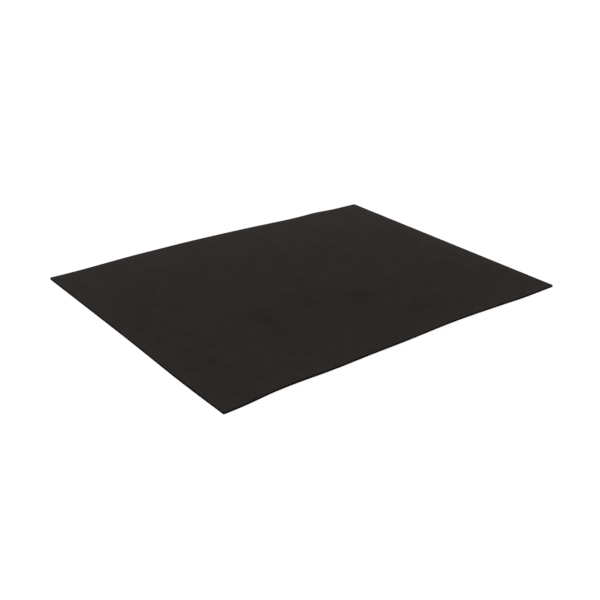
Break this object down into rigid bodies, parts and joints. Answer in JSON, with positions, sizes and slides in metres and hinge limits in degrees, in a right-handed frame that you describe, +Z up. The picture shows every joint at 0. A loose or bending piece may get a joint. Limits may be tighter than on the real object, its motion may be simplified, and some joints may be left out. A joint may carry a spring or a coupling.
{
  "type": "seedling heat mat",
  "caption": "Thin flexible black rubber mat that warms seed trays, with foam, foil and a printed carbon heating film sealed inside and a flush two-core cord gland in one short edge.",
  "frame": {"origin": "centre of the underside, on the surface that the mat lies on", "axes": "+X along the mat's length towards the short edge with the cord gland, +Y across it towards the long edge that the gland is nearest to, +Z up through its thickness"},
  "size_m": [0.6, 0.45, 0.003],
  "materials": {
    "cover_rubber": "matte",
    "base_rubber": "matte",
    "border_rubber": "matte",
    "gland_rubber": "satin",
    "foam": "matte",
    "foil": "satin",
    "film": "gloss",
    "carbon_ink": "matte",
    "copper": "satin",
    "tinned_brass": "satin",
    "patch_film": "satin",
    "lead_red": "satin",
    "lead_black": "satin"
  },
  "bodies": {
    "root": {"top_cover": "cover_rubber", "bottom_cover": "base_rubber", "border_front": "border_rubber", "border_rear": "border_rubber", "border_left": "border_rubber", "border_right_front": "border_rubber", "border_right_rear": "border_rubber", "cord_gland": "gland_rubber", "foam_core": "foam", "reflective_foil": "foil", "lower_film": "film", "upper_film": "film", "carbon_strip_01": "carbon_ink", "carbon_strip_02": "carbon_ink", "carbon_strip_03": "carbon_ink", "carbon_strip_04": "carbon_ink", "carbon_strip_05": "carbon_ink", "carbon_strip_06": "carbon_ink", "carbon_strip_07": "carbon_ink", "carbon_strip_08": "carbon_ink", "carbon_strip_09": "carbon_ink", "carbon_strip_10": "carbon_ink", "carbon_strip_11": "carbon_ink", "carbon_strip_12": "carbon_ink", "carbon_strip_13": "carbon_ink", "carbon_strip_14": "carbon_ink", "carbon_strip_15": "carbon_ink", "carbon_strip_16": "carbon_ink", "carbon_strip_17": "carbon_ink", "carbon_strip_18": "carbon_ink", "carbon_strip_19": "carbon_ink", "carbon_strip_20": "carbon_ink", "carbon_strip_21": "carbon_ink", "carbon_strip_22": "carbon_ink", "carbon_strip_23": "carbon_ink", "carbon_strip_24": "carbon_ink", "busbar_feed": "copper", "eyelet_feed": "tinned_brass", "ring_terminal_feed": "tinned_brass", "insulating_patch_feed": "patch_film", "lead_core_feed": "copper", "splice_feed": "tinned_brass", "busbar_return": "copper", "eyelet_return": "tinned_brass", "ring_terminal_return": "tinned_brass", "insulating_patch_return": "patch_film", "lead_core_return": "copper", "splice_return": "tinned_brass", "lead_insulation_feed": "lead_red", "lead_insulation_return": "lead_black"}
  },
  "joints": []
}
